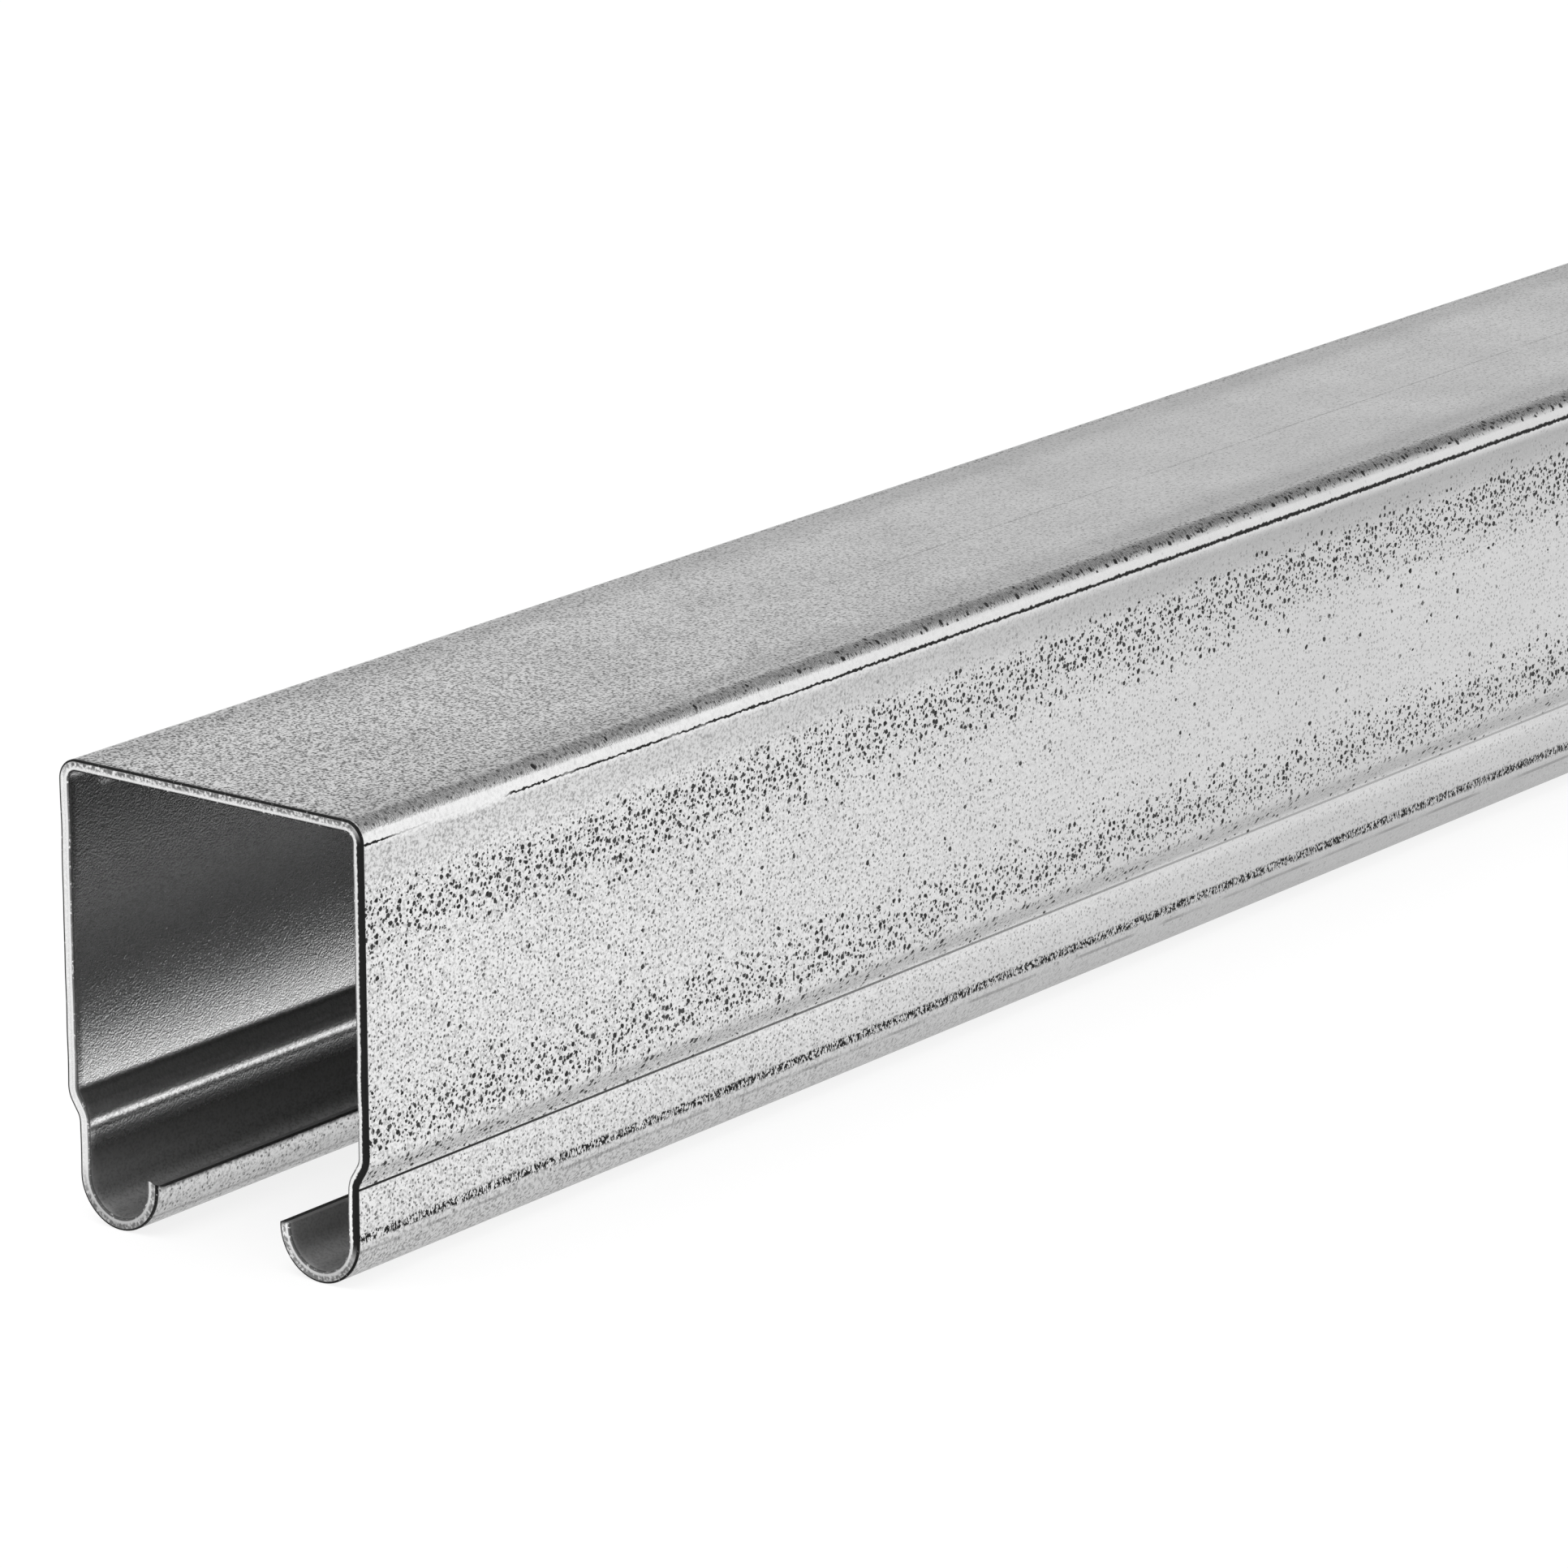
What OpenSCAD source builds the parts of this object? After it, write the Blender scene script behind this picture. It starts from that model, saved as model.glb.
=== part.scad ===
// Box-section track for a sliding gate or door, roll-formed from one strip of galvanised steel.
// It lies open side down. X runs along the track, Y across it and Z up, with Z = 0 under the curls.

/* [Track] */
// Length of the piece of stock
track_l = 2000; // [300:10:6000]
// Width over the side walls
track_w = 48; // [40:0.5:80]
// Height from the underside of the curls to the top face
track_h = 59; // [40:0.5:100]

/* [Sheet] */
// Thickness of the strip
sheet_t = 1.5; // [0.8:0.1:2.5]

/* [Corner bends] */
// Inside radius of the two bends between web and side walls
corner_r = 1.2; // [0.5:0.1:8]

/* [Joggle] */
// Distance that each side wall steps in
joggle_step = 1.75; // [1:0.05:5]
// Height of the middle of the step
joggle_z = 15; // [12:0.5:30]
// Lean of the step from the vertical, in degrees
joggle_slant = 32; // [20:1:45]
// Inside radius of the step's two bends
joggle_r = 2.2; // [0.5:0.1:5]

/* [Curls] */
// Inside radius of the curls that the trolley's wheels run in
curl_r = 4.7; // [2.5:0.1:7]
// Straight part of the lip above the middle of the curl
lip_h = 0.3; // [0.2:0.1:8]

/* [Hidden] */
$fn = 96;
zinc_grey = [0.80, 0.80, 0.80];
// Flats along each of the step's shallow bends
joggle_flats = 8;

// Corner bend: its centre
corner_x = track_w / 2 - sheet_t - corner_r;
corner_z = track_h - sheet_t - corner_r;

// Curl: its centre, and the inner face of its lip
curl_x = track_w / 2 - joggle_step - sheet_t - curl_r;
curl_z = sheet_t + curl_r;
lip_x = curl_x - curl_r;

// Step: bend radius at mid-sheet, the straight run between the bends, and the height they take up together
joggle_mid_r = joggle_r + sheet_t / 2;
joggle_run = (joggle_step - 2 * joggle_mid_r * (1 - cos(joggle_slant))) / sin(joggle_slant);
joggle_h = 2 * joggle_mid_r * sin(joggle_slant) + joggle_run * cos(joggle_slant);

// Mid-sheet lines of the side wall above and below the step
upper_x = (track_w - sheet_t) / 2;
lower_x = upper_x - joggle_step;

// Centres of the step's bends: the upper one lies inside the track, the lower one outside it
upper_centre = [upper_x - joggle_mid_r, joggle_z + joggle_h / 2];
lower_centre = [lower_x + joggle_mid_r, joggle_z - joggle_h / 2];

// Direction from a bend's centre to its arc, i flats into the turn
function spoke(i) =
    let (turn = joggle_slant * i / joggle_flats)
    [cos(turn), -sin(turn)];

// One face of a side wall from the corner bend down to the curl, at a distance out from mid-sheet
function wall_face(out) = concat(
    [[upper_x + out, corner_z]],
    [for (i = [0 : joggle_flats]) upper_centre + (joggle_mid_r + out) * spoke(i)],
    [for (i = [joggle_flats : -1 : 0]) lower_centre - (joggle_mid_r - out) * spoke(i)],
    [[lower_x + out, curl_z]]
);

function reversed(points) = [for (i = [len(points) - 1 : -1 : 0]) points[i]];

// Full ring of bent sheet
module ring(inside_r) {
    difference() {
        circle(inside_r + sheet_t);
        circle(inside_r);
    }
}

// Flat top, between the corner bends
module web() {
    translate([-corner_x, track_h - sheet_t])
        square([2 * corner_x, sheet_t]);
}

// Quarter turn from the web down into the side wall
module corner_bend() {
    reach = 2 * (corner_r + sheet_t);
    translate([corner_x, corner_z])
        intersection() {
            ring(corner_r);
            square(reach);
        }
}

// Side wall with its step
module side_wall() {
    polygon(concat(wall_face(-sheet_t / 2), reversed(wall_face(sheet_t / 2))));
}

// Half turn at the foot of the side wall
module curl() {
    reach = 2 * (curl_r + sheet_t);
    translate([curl_x, curl_z])
        intersection() {
            ring(curl_r);
            translate([-reach, -reach])
                square([2 * reach, reach]);
        }
}

// Straight edge of the strip, standing up beside the slot
module lip() {
    translate([lip_x - sheet_t, curl_z])
        square([sheet_t, lip_h]);
}

// One side of the section
module side() {
    corner_bend();
    side_wall();
    curl();
    lip();
}

module section() {
    web();
    side();
    mirror([1, 0])
        side();
}

module track() {
    color(zinc_grey)
        rotate([90, 0, 90])
            linear_extrude(track_l, center = true)
                section();
}

track();
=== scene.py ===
# %% [markdown]
# # A galvanised sliding gate track
#
# A sliding gate or door hangs from a trolley, and the trolley's wheels run inside a steel track like this
# one. It is made from one long strip of zinc coated steel. Pairs of rolls bend the strip a little at a
# time until it is a box that is open underneath, with a stepped-in foot and a curled lip on each side.
#
# In this lesson the strip is drawn out bend by bend, the way the rolls do it. Then it gets its thickness,
# its sawn ends and its mottled zinc finish, and it is lit and framed as in the photograph.

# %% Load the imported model
import math

import bmesh
import bpy
from mathutils import Matrix, Vector, noise


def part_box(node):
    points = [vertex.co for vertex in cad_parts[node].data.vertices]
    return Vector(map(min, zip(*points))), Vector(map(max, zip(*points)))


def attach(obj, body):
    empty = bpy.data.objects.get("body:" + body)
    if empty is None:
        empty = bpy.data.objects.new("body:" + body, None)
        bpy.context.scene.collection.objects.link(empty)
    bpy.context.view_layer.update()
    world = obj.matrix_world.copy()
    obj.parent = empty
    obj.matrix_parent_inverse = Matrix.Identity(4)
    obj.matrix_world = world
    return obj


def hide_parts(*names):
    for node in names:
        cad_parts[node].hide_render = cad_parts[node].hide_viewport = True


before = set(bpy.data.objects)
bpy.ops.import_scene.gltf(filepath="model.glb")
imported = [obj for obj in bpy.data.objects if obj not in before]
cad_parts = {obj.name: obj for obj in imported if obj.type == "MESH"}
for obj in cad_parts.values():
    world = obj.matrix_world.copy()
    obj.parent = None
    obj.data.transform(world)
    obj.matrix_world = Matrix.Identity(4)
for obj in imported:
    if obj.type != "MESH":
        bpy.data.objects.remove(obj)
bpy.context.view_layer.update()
track_low, track_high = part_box("track")
print("CAD box in mm:", [round(1000 * side, 1) for side in track_high - track_low])

# %% [markdown]
# ## The sizes of the section
#
# Length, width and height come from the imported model. The bends can't be read from a box, so they are
# named here, in metres, with the same values as in the part's own source. A bend is drawn at the middle
# of the sheet, so each radius is the inside radius plus half a thickness.

# %% Sizes
MM = 0.001
sheet = 1.5 * MM
corner_inside = 1.2 * MM
joggle_step = 1.75 * MM
joggle_middle = 15 * MM
joggle_slant = math.radians(32)
joggle_inside = 2.2 * MM
curl_inside = 4.7 * MM
lip_height = 0.3 * MM

length = track_high.x - track_low.x
half_width = (track_high.y - track_low.y) / 2
height = track_high.z

corner_radius = corner_inside + sheet / 2
joggle_radius = joggle_inside + sheet / 2
curl_radius = curl_inside + sheet / 2

upper_wall = half_width - sheet / 2
lower_wall = upper_wall - joggle_step
web_edge = upper_wall - corner_radius
corner_height = height - sheet / 2 - corner_radius
curl_middle = lower_wall - curl_radius
curl_height = sheet + curl_inside

joggle_bends = 2 * joggle_radius * (1 - math.cos(joggle_slant))
joggle_run = (joggle_step - joggle_bends) / math.sin(joggle_slant)
joggle_rise = 2 * joggle_radius * math.sin(joggle_slant) + joggle_run * math.cos(joggle_slant)
joggle_top = joggle_middle + joggle_rise / 2
joggle_foot = joggle_middle - joggle_rise / 2
print(f"the step takes up {joggle_rise / MM:.2f} mm of the side wall")

# %% [markdown]
# ## Drawing out the strip
#
# The real strip starts flat and is bent about each roll in turn. A flat plane with its edge pushed along
# does the same: a straight run is a row of short extrusions, and a bend is a spin about the middle of the
# bend. Only the front half is drawn, because the other half is its mirror image. A curve with a bevel
# could sweep the section too, but extrude and spin leave a clean grid that later steps can cut and
# soften.

# %% Draw half of the section
STEP = 0.5 * MM
BEND_STEP = math.radians(5)
# With no window open a spin turns clockwise about its axis, so the axis points back along the track.
BACK_ALONG = (-1, 0, 0)


def straight(run, across, up):
    """Pushes the selected edge along in short steps, in a direction across the track and up."""
    steps = max(1, round(run / STEP))
    for _ in range(steps):
        push = (0, across * run / steps, up * run / steps)
        bpy.ops.mesh.extrude_region_move(TRANSFORM_OT_translate={"value": push})


def bend(angle, across, up):
    """Turns the selected edge about a line along the track, at a place across it and a height."""
    steps = max(4, round(abs(angle) / BEND_STEP))
    bpy.ops.mesh.spin(steps=steps, angle=angle, center=(0, across, up), axis=BACK_ALONG)


bpy.ops.object.select_all(action="DESELECT")
bpy.ops.mesh.primitive_plane_add(size=1)
track = bpy.context.object
track.name = "galvanised_track"
bpy.ops.object.mode_set(mode="EDIT")
bpy.ops.mesh.select_mode(type="EDGE")
bpy.ops.transform.resize(value=(length, STEP, 1))
bpy.ops.transform.translate(value=(0, -STEP / 2, height - sheet / 2))

shape = bmesh.from_edit_mesh(track.data)
for edge in shape.edges:
    edge.select_set(all(vert.co.y < -STEP / 2 for vert in edge.verts))
shape.select_flush_mode()
bmesh.update_edit_mesh(track.data)

straight(web_edge - STEP, across=-1, up=0)
bend(math.radians(90), across=-web_edge, up=corner_height)
straight(corner_height - joggle_top, across=0, up=-1)
bend(joggle_slant, across=joggle_radius - upper_wall, up=joggle_top)
straight(joggle_run, across=math.sin(joggle_slant), up=-math.cos(joggle_slant))
bend(-joggle_slant, across=-joggle_radius - lower_wall, up=joggle_foot)
straight(joggle_foot - curl_height, across=0, up=-1)
bend(math.radians(180), across=-curl_middle, up=curl_height)
straight(lip_height, across=0, up=1)
bpy.ops.object.mode_set(mode="OBJECT")
lowest = min(vert.co.z for vert in track.data.vertices)
print(f"half section: {len(track.data.vertices)} points, lowest at {lowest / MM:.2f} mm")

# %% [markdown]
# ## Measuring along the strip
#
# Whatever the rolls leave on the sheet runs lengthwise, at a fixed distance from the middle of the strip.
# So each point gets that distance as an attribute called run, measured round the bends, which the finish
# reads later. Heights alone wouldn't do, because the wall and the lip beside it share the same heights.

# %% Store the run
hair = 0.01 * MM


def middle(edge):
    return (edge.verts[0].co + edge.verts[1].co) / 2


def edge_across(face, edge):
    """The edge of a four-sided face that shares no point with the given one."""
    return next(far for far in face.edges if not set(far.verts) & set(edge.verts))


shape = bmesh.new()
shape.from_mesh(track.data)
run_layer = shape.verts.layers.float.new("run")
edge = next(edge for edge in shape.edges if all(abs(vert.co.y) < hair for vert in edge.verts))
face = edge.link_faces[0]
run = 0
while face:
    far_edge = edge_across(face, edge)
    run += (middle(far_edge) - middle(edge)).length
    for vert in far_edge.verts:
        vert[run_layer] = run
    edge = far_edge
    face = next((near for near in edge.link_faces if near != face), None)
shape.to_mesh(track.data)
shape.free()
half_strip = run
print(f"the flat strip was {2 * half_strip / MM:.1f} mm wide")

# %% [markdown]
# ## Both halves, and the thickness of the sheet
#
# The rolls work on both edges of the strip at once, so the section is the same on both sides. A Mirror
# modifier makes the other half and joins it along the middle of the web. The strip is still a skin with
# no thickness. Solidify gives it the thickness of the sheet, half to each side of the line that was
# drawn. Before that, all normals have to point outwards, because Solidify would otherwise step sideways
# where they change.

# %% Mirror and thicken
def apply_modifier(piece, kind, **settings):
    """Adds one modifier, sets it up and applies it."""
    modifier = piece.modifiers.new(kind.title(), kind)
    for name, value in settings.items():
        setattr(modifier, name, value)
    bpy.ops.object.modifier_apply(modifier=modifier.name)


apply_modifier(track, "MIRROR", use_axis=(False, True, False), merge_threshold=hair)
bpy.ops.object.mode_set(mode="EDIT")
bpy.ops.mesh.select_all(action="SELECT")
bpy.ops.mesh.remove_doubles(threshold=hair)
bpy.ops.mesh.normals_make_consistent(inside=False)
bpy.ops.object.mode_set(mode="OBJECT")
apply_modifier(track, "SOLIDIFY", thickness=sheet, offset=0, use_even_offset=True, use_rim=True)
print(f"solid strip: {len(track.data.polygons)} faces, {track.dimensions.y / MM:.2f} mm wide")

# %% [markdown]
# ## Inside and outside
#
# The finish differs outside and inside: the outside carries the marks of the rolls, and the inside is
# painted darker, as shade inside the box, so the finish has to know one from the other. Solidify lists
# the points of one skin first and those of the other after them, in the same order. The attribute skin is
# 1 outside and -1 inside, and across a sawn edge it runs from one to the other.

# %% Mark the two skins
skin_points = len(track.data.vertices) // 2
points = track.data.vertices
web_point = min(range(skin_points), key=lambda index: abs(points[index].co.y))
first_skin = 1 if points[web_point].co.z > points[web_point + skin_points].co.z else -1
skin = track.data.attributes.new("skin", "FLOAT", "POINT")
for index, entry in enumerate(skin.data):
    entry.value = first_skin if index < skin_points else -first_skin
print("the first skin is", "outside" if first_skin == 1 else "inside")

# %% [markdown]
# ## The sawn ends
#
# A sawn end is never quite true: the cut wanders by a tenth of a millimetre or two, and filing off the
# burr leaves a narrow rounded edge. Two planes cut the strip just behind each end, so that only the last
# stretch moves. The end's rim is bevelled, and its points then shift along the track by a smooth noise.
# At the near end the saw also tore up the tip of the back lip, which stands a little proud of the rest.

# %% Bevel and roughen the ends
end_stretch = 1.5 * MM
fold_angle = math.radians(60)
smooth_angle = math.radians(35)
burr = 0.16 * MM
wander = 0.22 * MM
wander_scale = 170
torn_tip = 0.48 * MM

bpy.ops.object.mode_set(mode="EDIT")
for side in (-1, 1):
    bpy.ops.mesh.select_all(action="SELECT")
    cut_at = (side * (length / 2 - end_stretch), 0, 0)
    bpy.ops.mesh.bisect(plane_co=cut_at, plane_no=(1, 0, 0))

shape = bmesh.from_edit_mesh(track.data)
for face in shape.faces:
    face.select_set(False)
for edge in shape.edges:
    on_end = all(abs(vert.co.x) > length / 2 - hair for vert in edge.verts)
    folded = len(edge.link_faces) == 2 and edge.calc_face_angle() > fold_angle
    edge.select_set(on_end and folded)
bmesh.update_edit_mesh(track.data)
bpy.ops.mesh.bevel(offset=burr, segments=2, profile=0.5)
bpy.ops.object.mode_set(mode="OBJECT")

lip_top = curl_height + lip_height
lip_front = curl_middle - curl_inside - sheet
lip_back = curl_middle - curl_inside + hair
for vert in track.data.vertices:
    into = length / 2 - abs(vert.co.x)
    if into < end_stretch - hair:
        share = 1 - into / end_stretch
        shift = wander * share * (0.5 + 0.5 * noise.noise(vert.co * wander_scale))
        on_back_lip = 0 < vert.co.y < lip_back and abs(vert.co.z - lip_top) < 2 * burr
        if on_back_lip and vert.co.x < 0:
            vert.co.z += torn_tip * share * (1 + (vert.co.y - lip_front) / sheet)
        vert.co.x -= math.copysign(shift, vert.co.x)
bpy.ops.object.shade_smooth_by_angle(angle=smooth_angle)
print(f"track: {len(track.data.polygons)} faces")

# %% [markdown]
# ## Shader arithmetic
#
# The zinc finish is a sum of several patterns. A small class stands for one output of a shader node, so
# that the sums can be written as plain expressions, and each of them adds its own Math node.

# %% A socket that can be calculated with
class Wire:
    """One output of a node in a shader's tree."""

    def __init__(self, tree, socket=None):
        self.tree = tree
        self.socket = socket

    def node(self, kind, settings=None, inputs=None, output=0):
        """Adds a node: its settings first, then the values or links of its sockets."""
        made = self.tree.nodes.new("ShaderNode" + kind)
        for name, value in (settings or {}).items():
            if name == "stops":
                fill_ramp(made.color_ramp, value)
            elif name == "ramp_shape":
                made.color_ramp.interpolation = value
            else:
                setattr(made, name, value)
        for name, value in (inputs or {}).items():
            if isinstance(value, Wire):
                self.tree.links.new(value.socket, made.inputs[name])
            else:
                made.inputs[name].default_value = value
        return Wire(self.tree, made.outputs[output] if made.outputs else None)

    def output(self, name):
        """Another output of the same node."""
        return Wire(self.tree, self.socket.node.outputs[name])

    def math(self, operation, *values):
        return self.node("Math", {"operation": operation}, dict(enumerate(values)))

    def larger(self, other):
        return self.math("MAXIMUM", self, other)

    def __add__(self, other):
        return self.math("ADD", self, other)

    def __sub__(self, other):
        return self.math("SUBTRACT", self, other)

    def __rsub__(self, other):
        return self.math("SUBTRACT", other, self)

    def __mul__(self, other):
        return self.math("MULTIPLY", self, other)

    def __truediv__(self, other):
        return self.math("DIVIDE", self, other)

    def __lt__(self, other):
        return self.math("LESS_THAN", self, other)

    def __gt__(self, other):
        return self.math("GREATER_THAN", self, other)

    def __abs__(self):
        return self.math("ABSOLUTE", self)

    __radd__ = __add__
    __rmul__ = __mul__

    def ease(self, start, end):
        """0 at start, 1 at end and a smooth step between, also where end is the smaller one."""
        limits = {"Value": self, "From Min": start, "From Max": end}
        return self.node("MapRange", {"interpolation_type": "SMOOTHSTEP"}, limits)

    def line(self, place, reach):
        """1 on a narrow line at a value, falling to 0 at reach from it."""
        return abs(self - place).ease(reach, 0.5 * reach)


def fill_ramp(ramp, stops):
    """Puts grey stops on a colour ramp, each a place from 0 to 1 and a value."""
    while len(ramp.elements) < len(stops):
        ramp.elements.new(1)
    for element, (place, value) in zip(ramp.elements, sorted(stops)):
        element.position = place
        element.color = (value, value, value, 1)


def new_tree(holder):
    """Empties the node tree of a material or a world and returns a wire to start from."""
    holder.use_nodes = True
    holder.node_tree.nodes.clear()
    return Wire(holder.node_tree)


# %% [markdown]
# ## Where a point is on the strip
#
# Everything that the rolls leave behind runs along the strip, so the finish needs three things for each
# point: its place in space, its place on the flat strip, and which skin it is on. The run turns the bent
# section back into a flat sheet of coordinates, on which patterns keep their size round every bend. The
# rolls don't press evenly all the time, so a slow swing along the track, from 1 to -1, goes with these.

# %% Places on the strip
corner_start = web_edge
corner_end = corner_start + corner_radius * math.pi / 2
step_start = corner_end + corner_height - joggle_top
step_end = step_start + 2 * joggle_radius * joggle_slant + joggle_run
curl_start = step_end + joggle_foot - curl_height
skin_gap = 20 * MM
# Stops along the track: millimetres from the near end, then how lightly the rolls press, from 0 to 1.
light_touch = [(0, 1.0), (215, 0.0), (600, 0.45), (950, 0.15), (1320, 0.75), (1650, 0.30), (2000, 0.80)]


class Strip:
    """Wires for the place of a point, and patterns drawn on the flat strip."""

    def __init__(self, start):
        self.place = start.node("TexCoord", output="Object")
        self.x = start.node("SeparateXYZ", inputs={0: self.place})
        self.y = self.x.output("Y")
        self.run = start.node("Attribute", {"attribute_name": "run"}, output="Fac")
        self.skin = start.node("Attribute", {"attribute_name": "skin"}, output="Fac")
        self.outside = self.skin > 0
        on_strip = {"X": self.x, "Y": self.run, "Z": skin_gap * self.skin}
        self.flat = start.node("CombineXYZ", inputs=on_strip)
        self.from_start = self.x - track_low.x
        touches = [(distance * MM / length, value) for distance, value in light_touch]
        settings = {"stops": touches, "ramp_shape": "EASE"}
        self.swing = 2 * start.node("ValToRGB", settings, {0: self.from_start / length}) - 1

    def pressed(self, light, hard):
        """A value that is light where the rolls press lightly, and hard where they press hard."""
        return (light + hard) / 2 + (light - hard) / 2 * self.swing

    def along(self, stops, run=None):
        """A ramp over the run, with stops in millimetres from the middle of the web."""
        shares = [(distance * MM / half_strip, value) for distance, value in stops]
        return self.run.node("ValToRGB", {"stops": shares}, {0: (run or self.run) / half_strip})

    def grain(self, size, detail=1.0, stretch=1.0):
        """Noise of about the given size on the strip, longer along the track where stretch is over 1."""
        return grain(self.flat, size, detail, stretch)


def grain(vector, size, detail=1.0, stretch=1.0):
    """Noise of about the given size, longer along the first axis where stretch is over 1."""
    fitted = vector.node("VectorMath", {"operation": "MULTIPLY"}, {0: vector, 1: (1 / stretch, 1, 1)})
    return vector.node("TexNoise", inputs={"Vector": fitted, "Scale": 1 / size, "Detail": detail})


bend_ends = [round(end / MM, 1) for end in (corner_end, step_end, half_strip)]
print("corner, step and curl end at", bend_ends, "mm along the strip")

# %% [markdown]
# ## Pits in the zinc
#
# Seen close, the outside has small dark pits, less than a millimetre across. The rolls show them up along
# two bands of the side wall, below the corner bend and above the step. Between the bands they are finer,
# and fade along the track. On the corner bend the pits are crowded and dark above the bright line and
# sparse on it, and where the rolls press hard a fringe of large pits runs along the bend as well: this is
# painted shade, which makes the edge of the dark reflection beside the bright line ragged. A Voronoi
# pattern scatters them, one for each cell. Each cell also has a random colour, which says how large its
# pit is and whether it shows. Noise shakes the coordinates, because round pits would look printed.

# %% Pits
# Stops in millimetres along the strip, from the middle of the web: the share of pits that show.
large_share = [
    (0, 0.02), (18, 0.02), (24, 0.0), (28.3, 0.05), (30.6, 0.40), (32.0, 1.15), (34.8, 1.18),
    (36.2, 0.52), (42, 0.09), (54, 0.09), (57, 0.40), (59.5, 0.92), (62.4, 0.88), (63.3, 0.32),
    (67.8, 0.25), (68.2, 0.02),
]
small_share = [
    (0, 0.70), (18, 0.70), (21, 0.85), (23.1, 0.95), (23.4, 0.10), (24.4, 0.10), (27, 0.45),
    (30, 0.85), (42, 0.82), (54, 0.82), (62, 0.95), (67.8, 0.60), (68.5, 0.05), (69.2, 0.85),
    (73.4, 0.85), (73.8, 0.15), (75.4, 0.15), (78, 0.30), (85, 0.30), (88, 0.60),
]
# Stops in millimetres along the strip, from the middle of the web: how dark the small pits are.
small_depth = [
    (0, 0.75), (20, 0.75), (22.0, 0.80), (23.1, 0.80), (23.4, 0.15), (24.4, 0.15), (29, 0.45),
    (31, 0.95), (36, 0.95), (41, 0.80), (54, 0.80), (62, 0.95), (68, 0.55), (70, 0.75), (75, 0.7),
    (78, 0.4), (88, 0.7),
]
# Stops in millimetres along the strip, from the middle of the web: how far the small pits fade.
fade_share = [
    (20, 1.0), (21.3, 0.0), (29, 0.3), (31, 0.1), (35, 0.1), (40, 0.85), (54, 0.9), (59, 0.2),
    (63, 0.2), (68, 0.9),
]
# Stops in millimetres along the strip, from the middle of the web: the share of large pits on the bend,
# painted shade along the dark edge beside the bright line.
bend_shade_pits = [(21.4, 0.0), (22.2, 0.45), (23.0, 0.95), (23.15, 0.0)]
large_spacing = 1.1 * MM
small_spacing = 0.72 * MM
band_drift = 1.3 * MM
band_foot = (50 * MM, 40 * MM)
# Radii of the pits, from and to, as shares of their spacing.
large_radii = (0.18, 0.37)
small_radii = (0.17, 0.31)
# A pit is flat up to this share of its radius, and no pit is shallower than least_depth.
flat_floor = 0.75
least_depth = 0.92
share_fade = 0.06
# The pits stand in short columns across the strip, some thin and some crowded.
column_height = 14 * MM
column_slimness = 0.05
fewest, most = (0.55, 1.45)
print(f"pits every {large_spacing / MM:.2f} mm and every {small_spacing / MM:.2f} mm")


def shaken(vector, size, by):
    """Coordinates moved about by noise, so that round things get ragged."""
    centre = (0.5, 0.5, 0.5)
    random = grain(vector, size).output("Color")
    shake = vector.node("VectorMath", {"operation": "SUBTRACT"}, {0: random, 1: centre})
    scaled = vector.node("VectorMath", {"operation": "SCALE"}, {0: shake, "Scale": by})
    return vector.node("VectorMath", {"operation": "ADD"}, {0: vector, 1: scaled})


def pits(flat, spacing, radii, share):
    """Pits on the strip, of which only a share show."""
    smallest, largest = radii
    settings = {"voronoi_dimensions": "2D"}
    distance = flat.node("TexVoronoi", settings, {"Vector": flat, "Scale": 1 / spacing}, "Distance")
    draw = flat.node("SeparateColor", inputs={0: distance.output("Color")})
    radius = smallest + (largest - smallest) * draw.output("Green")
    shown = (share - draw).ease(0.0, share_fade)
    depth = least_depth + (1 - least_depth) * draw.output("Blue")
    return (distance / radius).ease(1.0, flat_floor) * shown * depth


def rolled_pits(strip, ragged):
    """How dark the pits make a point, from 0 to 1."""
    columns = fewest + (most - fewest) * strip.grain(column_height, stretch=column_slimness)
    drifted = strip.run - band_drift * strip.swing * strip.run.ease(*band_foot)
    in_bands = strip.along(large_share, drifted) * columns * strip.pressed(light=1.0, hard=0.8)
    # The large pits on the corner bend are painted shade, dark spots that make the edge of the dark
    # reflection ragged.
    bend_shade_share = strip.along(bend_shade_pits) * strip.pressed(light=0.1, hard=1.0)
    large = pits(ragged, large_spacing, large_radii, in_bands + bend_shade_share)
    small = pits(ragged, small_spacing, small_radii, strip.along(small_share) * columns)
    faded = 1 - strip.along(fade_share) * strip.pressed(light=0.0, hard=0.6)
    return large.larger(small * strip.along(small_depth) * faded)


# %% [markdown]
# ## Lines left by the rolls
#
# The edges of the rolls draw thin lines: a finer one under the step, a row of short black dashes where
# the curl begins, and faint ones on the curl, below the lip and near the middle of the web. The black
# line under the corner bend is partly a crease and partly painted shade, a dark reflection of the horizon
# painted as a line between the bright line on the bend and the wall. The strip's own sheared edge, along
# the top of the lip, is dark too. Each is a narrow band at one value of the run. The ragged run makes the
# black ones uneven, and noise breaks them.

# %% Lines
# The black line under the corner bend is partly a crease and partly painted shade beside the painted
# highlight.
corner_line_run = corner_end + 0.10 * MM
step_line_run = step_end - 0.21 * MM
dash_run = curl_start - 0.47 * MM
curl_line_run = curl_start + 1.08 * MM
lip_line_run = curl_start + 13.7 * MM
web_line_y = -1.9 * MM
# How far each line reaches to either side, and how dark the faint ones are.
dash_reach = 0.80 * MM
step_line_reach = 0.28 * MM
curl_line_reach = 0.25 * MM
web_line_reach = 0.22 * MM
lip_line_reach = 0.30 * MM
curl_line_depth = 0.35
web_line_depth = 0.40
lip_line_depth = 0.30
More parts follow.
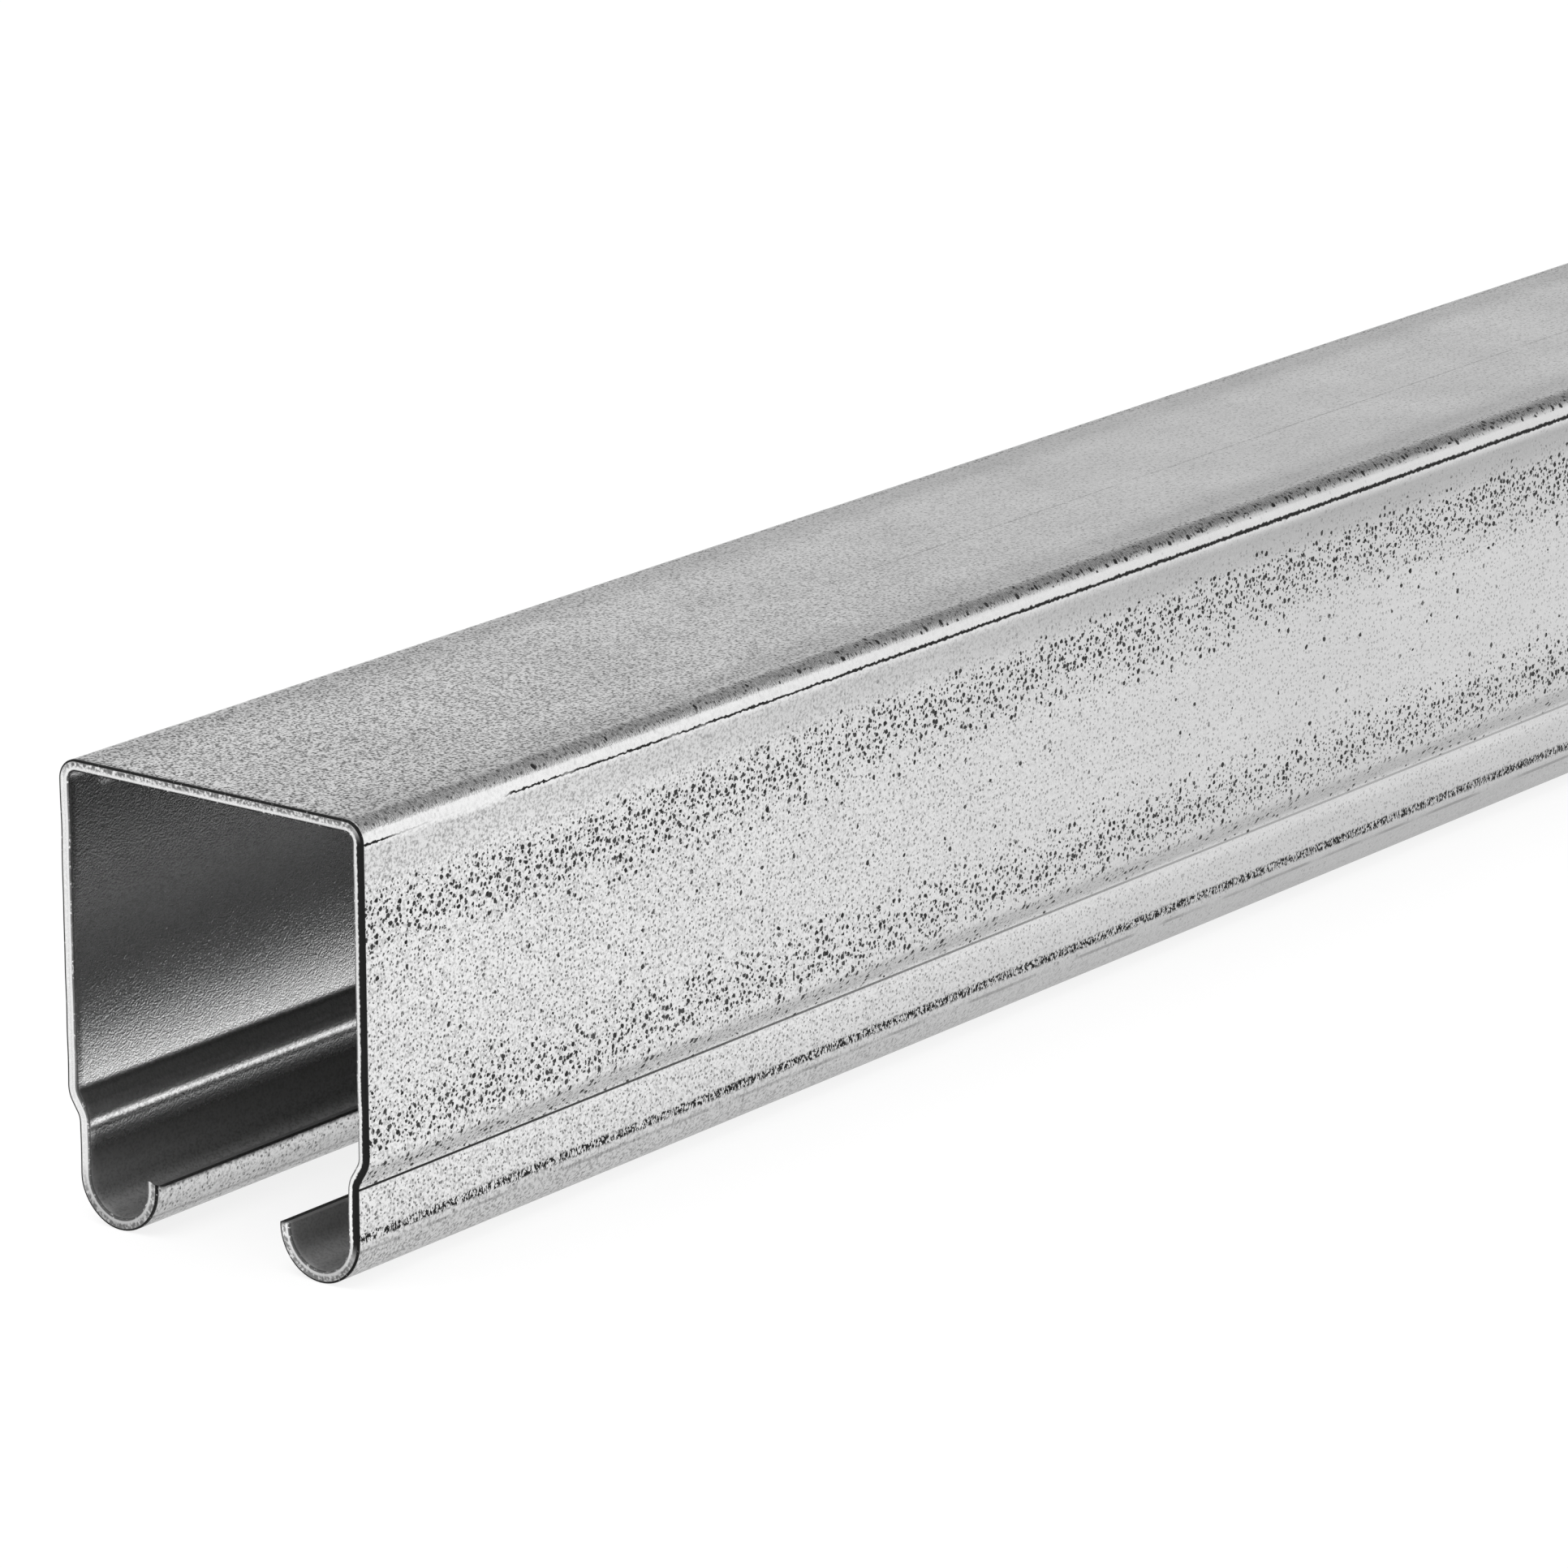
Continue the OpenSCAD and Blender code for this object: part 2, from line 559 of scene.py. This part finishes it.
# Noise breaks the lines. Each pair is the value where a line is gone, and the value where it is whole.
tooth_size = 0.45 * MM
gap_size = 4 * MM
dash_teeth = (0.48, 0.50)
corner_gone, corner_whole = (0.22, 0.34)
curl_gaps = (0.40, 0.55)
web_dots = (0.40, 0.55)
web_gaps = (0.22, 0.40)
web_swing = (0.0, -0.3)
# Stops in millimetres along the strip, from the middle of the web: how dark the strip's own edge is.
edge_depth = [(91.92, 0.0), (92.0, 0.98), (92.2, 0.98), (92.28, 0.86)]
print(f"black line {corner_line_run / MM:.1f} mm along the strip, dashes {dash_run / MM:.1f} mm along")


def drawn_lines(strip, ragged_run):
    """How dark the rolls' lines make a point, from 0 to 1, with painted shade in the black line under the
    corner bend.
    """
    tooth = strip.grain(tooth_size, stretch=0.5)
    gaps = strip.grain(gap_size, stretch=3)
    dashes = ragged_run.line(dash_run, dash_reach) * tooth.ease(*dash_teeth)
    # The corner line is partly a crease and partly painted shade.
    corner_reach = strip.pressed(light=0.17, hard=0.33) * MM
    corner_gap_shift = strip.pressed(light=0.2, hard=-0.2)
    corner_gaps = gaps.ease(corner_gone + corner_gap_shift, corner_whole + corner_gap_shift)
    corner_line = ragged_run.line(corner_line_run, corner_reach) * corner_gaps
    step_line = strip.pressed(light=1.0, hard=0.4) * strip.run.line(step_line_run, step_line_reach)
    curl_line = curl_line_depth * strip.run.line(curl_line_run, curl_line_reach) * gaps.ease(*curl_gaps)
    dotted = tooth.ease(*web_dots) * gaps.ease(*web_gaps) * strip.swing.ease(*web_swing)
    web_line = web_line_depth * strip.y.line(web_line_y, web_line_reach) * dotted
    lip_line = lip_line_depth * strip.run.line(lip_line_run, lip_line_reach)
    faint = step_line + curl_line + lip_line + (strip.run < corner_start) * web_line
    return dashes.larger(corner_line).larger(strip.along(edge_depth, ragged_run)) + faint


# %% [markdown]
# ## The sawn edge
#
# The saw leaves bare steel that is bright towards the inside, where the blade went in, and greyer on the
# curls. The outer part of the cut, where the edge is rolled over, is painted dark as shade: nearly black
# on the front wall and mottled on the web and the curls. Both rims have a thin dark line, the burr's own
# edge with painted shade along it. The skin attribute runs across the cut from -1 to 1, so it tells how
# far through the sheet a point is.

# %% Sawn edge
cut_fade = (0.55 * MM, 0.40 * MM)
torn_size = 0.4 * MM
# How far through the sheet each part of the cut starts, and where it is at its darkest.
rolled_shade_skin = (-0.4, 0.1)
front_skin = (-0.25, 0.0)
inner_skin = (-0.55, -0.80)
outer_skin = (0.50, 0.72)
# Noise tears the cut. Each pair is the value where a part is gone, and the value where it is whole.
rolled_shade_torn = (0.30, 0.58)
inner_torn = (0.28, 0.42)
outer_torn = (0.20, 0.34)
# Stops in millimetres along the strip, from the middle of the web: the grey of the bare cut.
cut_tone = [(74, 0.97), (79, 0.66), (88, 0.66), (92, 0.90)]
curl_end = curl_start + 4 * MM
# Stops in millimetres along the strip, from the middle of the web: how dark the painted shade on the
# outer part of the cut is.
rolled_shade_depth = [(0, 0.80), (22, 0.80), (24.4, 0.10), (74, 0.10), (78, 0.70)]
# Stops in millimetres along the strip, from the middle of the web: how dark the cut's inner rim is.
rim_depth = [(22, 1.0), (26, 0.80)]
print(f"the cut fades out {cut_fade[0] / MM:.2f} mm from the end")


def sawn_edge(strip):
    """Where the cut is, and how dark it is there with its painted shade, both from 0 to 1."""
    from_end = length / 2 - abs(strip.x)
    cut = from_end.ease(*cut_fade)
    torn = grain(strip.place, torn_size, detail=2.0)
    waver = strip.skin + 0.5 * (torn - 0.5)
    # The outer part of the cut is painted shade for its rolled-over edge, black on the front wall; the
    # rims are the burr's edge with painted shade along it.
    rolled_shade = waver.ease(*rolled_shade_skin) * strip.along(rolled_shade_depth) * torn.ease(*rolled_shade_torn)
    on_wall = strip.run.ease(corner_start, corner_end) * strip.run.ease(curl_end, curl_start)
    front = (strip.y < 0) * on_wall * waver.ease(*front_skin)
    inner_rim = strip.skin.ease(*inner_skin) * torn.ease(*inner_torn) * strip.along(rim_depth)
    outer_rim = strip.skin.ease(*outer_skin) * torn.ease(*outer_torn)
    return cut, rolled_shade.larger(front).larger(inner_rim.larger(outer_rim))


# %% [markdown]
# ## A scuff
#
# Something has scraped the inside of the back wall, close to the start, and left a small pale spot. An
# oval on the flat strip says where it is, and noise tears its edge. A scraped coat is chalky, so the spot
# is less of a metal than the zinc around it.

# %% Scuff
scuff_from_start = 7 * MM
scuff_run = 25.7 * MM
scuff_length = 2.3 * MM
scuff_height = 0.9 * MM
scuff_tear = 0.35 * MM
scuff_torn = (0.42, 0.56)
print(f"a scuff {scuff_from_start / MM:.0f} mm from the near end")


def scuffed(strip):
    """How far the coat is scraped off, from 0 to 1."""
    along = (strip.from_start - scuff_from_start) / scuff_length
    across = (strip.run - scuff_run) / scuff_height
    spot = (along * along + across * across).ease(1.0, 0.2)
    torn = strip.grain(scuff_tear, detail=2.0).ease(*scuff_torn)
    return spot * torn * (strip.skin < 0) * (strip.y > 0)


# %% [markdown]
# ## The grey of the zinc
#
# The zinc coat is bright and slightly uneven, a pale grey mottle. Its grey is a product of several
# patterns: the tone of each part of the section, the flecks of the mottle, slow clouds, and the fine
# marks of drawing the strip through the rolls. The tones carry painted light: a painted highlight along
# the corner bend with painted shade above it, an inside painted darker as shade inside the box with
# painted highlights on the two bends of the step, and a curl that is darker round its underside. The zinc
# is also darker where the swing is low, most of all in the painted shade on the corner bend. Painting an
# image would hold only one length of track, and nodes cover any length at any scale.

# %% Grey of the zinc
zinc_grey = 0.90
# Stops in millimetres along the strip, from the middle of the web: how bright the inside is. It is
# painted darker than the outside, as shade inside the box, and brighter towards the foot of the wall; the
# two bends of the step carry painted highlights above 1, with a dark line just below them.
inside_tone_and_painted_light = [
    (0, 0.66), (24, 0.62), (38, 0.62), (44, 0.70), (50, 0.70), (53, 0.77), (56, 0.85), (58, 0.92),
    (63.0, 0.98), (63.3, 1.10), (63.8, 1.10), (64.2, 0.48), (66.4, 0.50), (66.9, 0.80),
    (67.4, 1.10), (68.5, 1.05), (68.8, 0.25), (69.25, 0.15), (69.5, 0.52), (69.8, 0.58),
    (70.6, 0.42), (71.5, 0.50), (73, 0.62), (76, 0.66),
]
# Stops in millimetres along the strip, from the middle of the web: how rough the inside is.
inside_rough = [
    (63.4, 0.12), (64.2, 0.30), (67.3, 0.30), (68.0, 0.10), (68.6, 0.07), (71, 0.20), (76, 0.40),
]
# Stops in millimetres along the strip, from the middle of the web: how grainy the inside is.
inside_grain = [(62, 1.0), (66.8, 0.5), (69, 0.5), (73, 0.15)]
# Stops in millimetres along the strip, from the middle of the web: how bright the outside is. Above 1 on
# the corner bend it is a painted highlight, with painted shade from the edge of the web down to it; the
# wall is darker just below it, and the curl is darker round its underside.
outside_tone_and_painted_light = [
    (13, 1.07), (17, 0.95), (19.5, 0.83), (21.3, 0.85), (22.3, 0.90), (22.9, 0.86), (23.2, 1.06),
    (24.8, 1.05), (25.2, 0.86), (28, 0.90), (30, 1.0), (78, 1.0), (80, 0.93), (83.4, 0.68),
    (85.5, 0.43), (88, 0.44), (90, 0.52), (92.2, 0.74),
]
# Stops in millimetres along the strip, from the middle of the web: how dark the flecks of the mottle are.
fleck_depth = [
    (0, 0.95), (20, 0.95), (22.8, 0.3), (23.3, 0.12), (24.6, 0.12), (25.2, 0.46), (31, 0.40),
    (75, 0.40), (78, 0.60), (84, 0.60), (88, 0.40),
]
# Stops in millimetres along the strip, from the middle of the web: how far the clouds change the tone.
cloud_depth = [(19, 0.40), (22, 0.10)]
# Stops in millimetres along the strip, from the middle of the web: how rough the bend's fringe is.
fringe_share = [(21.3, 0), (21.9, 1), (23.3, 1), (23.8, 0)]
# Stops in millimetres along the strip, from the middle of the web: how much darker the zinc gets where
# the swing is low. On the corner bend this deepens the painted shade above the painted highlight.
darkening_share = [
    (15, 0.42), (18, 0.75), (20, 0.35), (21.3, 0.52), (22.2, 0.7), (22.7, 1.1), (23.0, 0.1),
    (25.2, 0.0), (25.8, 0.95), (28.6, 0.85), (31, 0.4), (37, 0.35), (39, 0.2), (58, 0.2), (60, 0.4),
    (64, 0.4), (65.5, 0.0), (69.6, 0.0), (70.6, 0.4), (74.5, 0.4), (75.5, 0.1),
]
fleck_noise = (0.42, 0.68)
draw_mark_width = 0.6 * MM
draw_mark_stretch = 40


def zinc_tone(strip, ragged_run, mottle, clouds):
    """The grey of the zinc, with painted highlights and painted shade in the tones of the section."""
    fleck_share = strip.pressed(light=1.0, hard=0.16) * (0.5 + 0.5 * strip.outside)
    flecks = strip.along(fleck_depth) * mottle.ease(*fleck_noise) * fleck_share
    # The section's tones carry a painted highlight and painted shade on the corner bend, an inside
    # painted darker as shade, and painted highlights on the step inside.
    inside = strip.along(inside_tone_and_painted_light, ragged_run)
    side = inside + strip.outside * (strip.along(outside_tone_and_painted_light) - inside)
    cloudy = 1 + strip.along(cloud_depth) * (clouds - 0.5)
    drawn = 0.95 + 0.10 * strip.grain(draw_mark_width, stretch=draw_mark_stretch)
    # Darker where the swing is low; on the corner bend this deepens the painted shade.
    swing_dimming = 1 - strip.along(darkening_share) * strip.pressed(light=0.0, hard=0.28)
    dimming_factor = strip.pressed(light=1.0, hard=0.82) * swing_dimming
    return zinc_grey * side * (1 - flecks) * cloudy * drawn * dimming_factor


print(f"zinc: grey {zinc_grey}, with {len(outside_tone_and_painted_light)} tones outside and {len(inside_tone_and_painted_light)} inside")

# %% [markdown]
# ## Galvanised steel
#
# The finish is one bare metal. The pits, lines and cut darken the zinc and make it rougher, and the scuff
# covers it. The mottle, the clouds, the bend's fringe and the grain of the inside raise a very low
# relief, which breaks up the reflections. The pits are too small to need a relief of their own.

# %% Material
pit_grey = 0.02
scuff_grey = 0.95
scuff_metal = 0.1
ragged_size = 0.6 * MM
ragged_reach = 0.5 * MM
mottle_size = 0.38 * MM
cloud_size = 14 * MM
outside_rough = 0.17
mottle_rough = 0.12
mark_rough = 0.25
# The fringe of the bend moves up where the rolls press hard.
fringe_rise = 0.6 * MM
fringe_size = 0.3 * MM
inner_grain_size = 0.24 * MM
# How high each pattern stands in the relief, next to the mottle.
cloud_height = 1.5
fringe_height = 4
inner_grain_height = 2
relief_depth = 0.03 * MM
relief_strength = 0.5


def galvanised_steel():
    """The finish of the whole track."""
    material = bpy.data.materials.new("galvanised_steel")
    start = new_tree(material)
    strip = Strip(start)
    ragged = shaken(strip.flat, ragged_size, ragged_reach)
    ragged_run = start.node("SeparateXYZ", inputs={0: ragged}, output="Y")
    marks = strip.outside * rolled_pits(strip, ragged).larger(drawn_lines(strip, ragged_run))
    cut, cut_shade = sawn_edge(strip)
    shade = marks + cut * (cut_shade - marks)

    mottle = strip.grain(mottle_size, detail=2.0)
    clouds = grain(strip.place, cloud_size, detail=3.0)
    tone = zinc_tone(strip, ragged_run, mottle, clouds)
    clean = tone + cut * (strip.along(cut_tone) - tone)
    scuff = scuffed(strip)
    marked = clean * (1 - shade) + pit_grey * shade
    grey = marked + scuff * (scuff_grey - marked)
    metal = 1 - (1 - scuff_metal) * scuff
    inside_base = strip.along(inside_rough)
    base_rough = inside_base + strip.outside * (outside_rough - inside_base)
    rough = base_rough + mottle_rough * mottle + mark_rough * shade

    fringe_run = strip.run + strip.pressed(light=0.0, hard=fringe_rise)
    fringe_grain = strip.grain(fringe_size, stretch=0.7)
    fringe = strip.outside * strip.along(fringe_share, fringe_run) * fringe_grain
    inner_grain = (strip.skin < 0) * strip.along(inside_grain) * strip.grain(inner_grain_size)
    relief = mottle + cloud_height * clouds + fringe_height * fringe + inner_grain_height * inner_grain
    heights = {"Height": relief, "Strength": relief_strength, "Distance": relief_depth}
    bump = start.node("Bump", inputs=heights)
    sockets = {"Base Color": grey, "Metallic": metal, "Roughness": rough, "Normal": bump}
    surface = start.node("BsdfPrincipled", inputs=sockets)
    start.node("OutputMaterial", inputs={"Surface": surface})
    print(f"galvanised steel: {len(start.tree.nodes)} nodes")
    return material


track.data.materials.clear()
track.data.materials.append(galvanised_steel())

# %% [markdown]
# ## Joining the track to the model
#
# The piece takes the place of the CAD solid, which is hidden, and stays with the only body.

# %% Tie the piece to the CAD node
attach(track, "root")
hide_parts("track")
print(track.name, "stands for the CAD node track")

# %% [markdown]
# ## The camera
#
# The photograph looks down a little, along the track from its sawn end, through a long lens. The angles
# and the distance were found by fitting the section's outline to the photograph. The aim is a point in
# the middle of the near end, and the camera is moved sideways until that point falls on its own pixel of
# the photograph.

# %% Camera
photo_size = 1932
photo_azimuth = math.radians(-52.419)
photo_elevation = math.radians(16.28)
photo_roll = math.radians(-0.243)
photo_lens = 199.76
photo_sensor = 36.0
aim_pixel = (262.17, 1258.03)
aim_distance = 1.0469
aim_point = Vector((track_low.x, 0, 30 * MM))

back = Vector((
    math.sin(photo_azimuth) * math.cos(photo_elevation),
    -math.cos(photo_azimuth) * math.cos(photo_elevation),
    math.sin(photo_elevation),
))
level_right = Vector((math.cos(photo_azimuth), math.sin(photo_azimuth), 0))
level_up = back.cross(level_right)
right = math.cos(photo_roll) * level_right + math.sin(photo_roll) * level_up
up = back.cross(right)
metres_per_pixel = aim_distance * photo_sensor / photo_lens / photo_size
off_right = (aim_pixel[0] - photo_size / 2) * metres_per_pixel
off_down = (aim_pixel[1] - photo_size / 2) * metres_per_pixel

bpy.ops.object.camera_add()
camera = bpy.context.object
camera.name = "photo_camera"
camera.data.lens = photo_lens
camera.data.sensor_width = photo_sensor
turn = Matrix((right, up, back)).transposed().to_4x4()
stand = aim_point + back * aim_distance - right * off_right + up * off_down
camera.matrix_world = Matrix.Translation(stand) @ turn
bpy.context.scene.camera = camera
print("camera at", [round(value, 3) for value in stand])

# %% [markdown]
# ## The floor
#
# Bright metal shows what is around it more than its own colour, so the studio is part of the finish. The
# floor is white to the camera. In the metal it is a pale floor with a painted shadow close to the track
# and painted light below the slot. A Light Path node tells which of the two is looked at, and the matt
# part takes the track's shadow.

# %% Floor
floor_side = 60
camera_glow = 0.82
matt_grey = 0.2
# Stops across the floor: millimetres from the middle of the track, then how bright it is in the metal.
# The dip beside the track is a painted shadow, and the bright strip below the slot is painted light.
painted_floor_light = [(11, 1.0), (16, 0.53), (26, 0.51), (37, 0.74)]
ramp_reach = 50 * MM


def studio_floor():
    """White to the camera, and in the metal a floor with a painted shadow beside the track and painted
    light below the slot.
    """
    material = bpy.data.materials.new("studio_floor")
    start = new_tree(material)
    camera_ray = start.node("LightPath", output="Is Camera Ray")
    clear_ray = camera_ray.output("Is Transmission Ray")
    mirror_ray = camera_ray.output("Is Glossy Ray")
    place = start.node("TexCoord", output="Object")
    across = abs(start.node("SeparateXYZ", inputs={0: place}, output="Y"))
    shares = [(distance * MM / ramp_reach, value) for distance, value in painted_floor_light]
    # The floor in the metal: a painted shadow beside the track, painted light below the slot.
    in_metal = start.node("ValToRGB", {"stops": shares}, {0: across / ramp_reach})
    brightness = camera_glow * (camera_ray + clear_ray) + mirror_ray * in_metal
    glow = start.node("Emission", inputs={"Color": brightness, "Strength": 1.0})
    matt = start.node("BsdfDiffuse", inputs={"Color": (matt_grey, matt_grey, matt_grey, 1)})
    surface = start.node("AddShader", inputs={0: glow, 1: matt})
    start.node("OutputMaterial", inputs={"Surface": surface})
    return material


bpy.ops.object.select_all(action="DESELECT")
bpy.ops.mesh.primitive_plane_add(size=floor_side)
floor = bpy.context.object
floor.name = "studio_floor"
floor.data.materials.append(studio_floor())
print(f"floor: {floor_side} m wide")

# %% [markdown]
# ## The sky
#
# The bends and the web mirror the sky. It is pale along the horizon and brightest in front, with a dark
# patch higher up, straight along the track. That patch draws the dark edge beside the bright line on the
# corner bend, and it starts higher farther along, where the bright line is wider. A picture of a studio
# could be mirrored too, but with a few steps over the direction it is plain which part of the light does
# what.

# %% Sky
sky_glow = 0.73
front_glow = 0.23
patch_depth = 0.67
# Parts of a direction, across the track or along it: where a step starts, and where it ends.
front_turn = (-0.2, -0.45)
patch_turn = (0.15, -0.15)
patch_along = (0.35, 0.6)
rise_along = (0.72, 0.785)
# How much lower the edge of the patch is for the near end, and how far it rises along the track.
edge_drop = 0.03
edge_rise = 0.16


def climb_step(climb, start, end):
    """A smooth step over the upward part of a direction, between two angles in degrees."""
    return climb.ease(math.sin(math.radians(start)), math.sin(math.radians(end)))


world = bpy.data.worlds.new("studio")
bpy.context.scene.world = world
start = new_tree(world)
camera_ray = start.node("LightPath", output="Is Camera Ray")
direction = start.node("TexCoord", output="Generated")
along = start.node("SeparateXYZ", inputs={0: direction})
across = along.output("Y")
climb = along.output("Z")
horizon = climb_step(climb, start=24, end=20)
front = across.ease(*front_turn)
lifted = climb + edge_drop - edge_rise * along.ease(*rise_along)
sharp_edge = climb_step(lifted, start=23, end=26.5)
soft_edge = climb_step(climb, start=17, end=38)
patch_edge = soft_edge + across.ease(*patch_turn) * (sharp_edge - soft_edge)
patch = along.ease(*patch_along) * patch_edge * climb_step(climb, start=60, end=48)
sky = (sky_glow + front_glow * front * horizon) * (1 - patch_depth * patch)
shade = sky + camera_ray * (1 - sky)
background = start.node("Background", inputs={"Color": shade, "Strength": 1.0})
start.node("OutputWorld", inputs={"Surface": background})
print(f"sky: {len(start.tree.nodes)} nodes")

# %% [markdown]
# ## The lamp
#
# A large soft light hangs high over the near end, a little beyond it, and gives the soft shadow on the
# floor. A square area lamp does this. It is set by its radiance, the brightness that a mirror would show,
# and its power follows from that and its size.

# %% Lamp
lit_from_end = 0.1
lit_point = Vector((track_low.x + lit_from_end, 0, height / 2))
lamp_elevation = math.radians(72)
lamp_distance = 5
lamp_side = 4
lamp_radiance = 2.6

towards = Vector((-math.cos(lamp_elevation), 0, math.sin(lamp_elevation)))
bpy.ops.object.light_add(type="AREA", location=lit_point + towards * lamp_distance)
lamp = bpy.context.object
lamp.name = "overhead_lamp"
lamp.rotation_euler = towards.to_track_quat("Z", "Y").to_euler()
lamp.data.size = lamp_side
lamp.data.energy = lamp_radiance * math.pi * lamp_side ** 2
print(f"overhead lamp: {lamp.data.energy:.0f} W")

# %% [markdown]
# ## Colour
#
# The Standard view shows a colour about as it is written, so a grey in the material can be set against
# the grey in the photograph.

# %% Colour settings
bpy.context.scene.view_settings.view_transform = "Standard"
print("view:", bpy.context.scene.view_settings.view_transform)
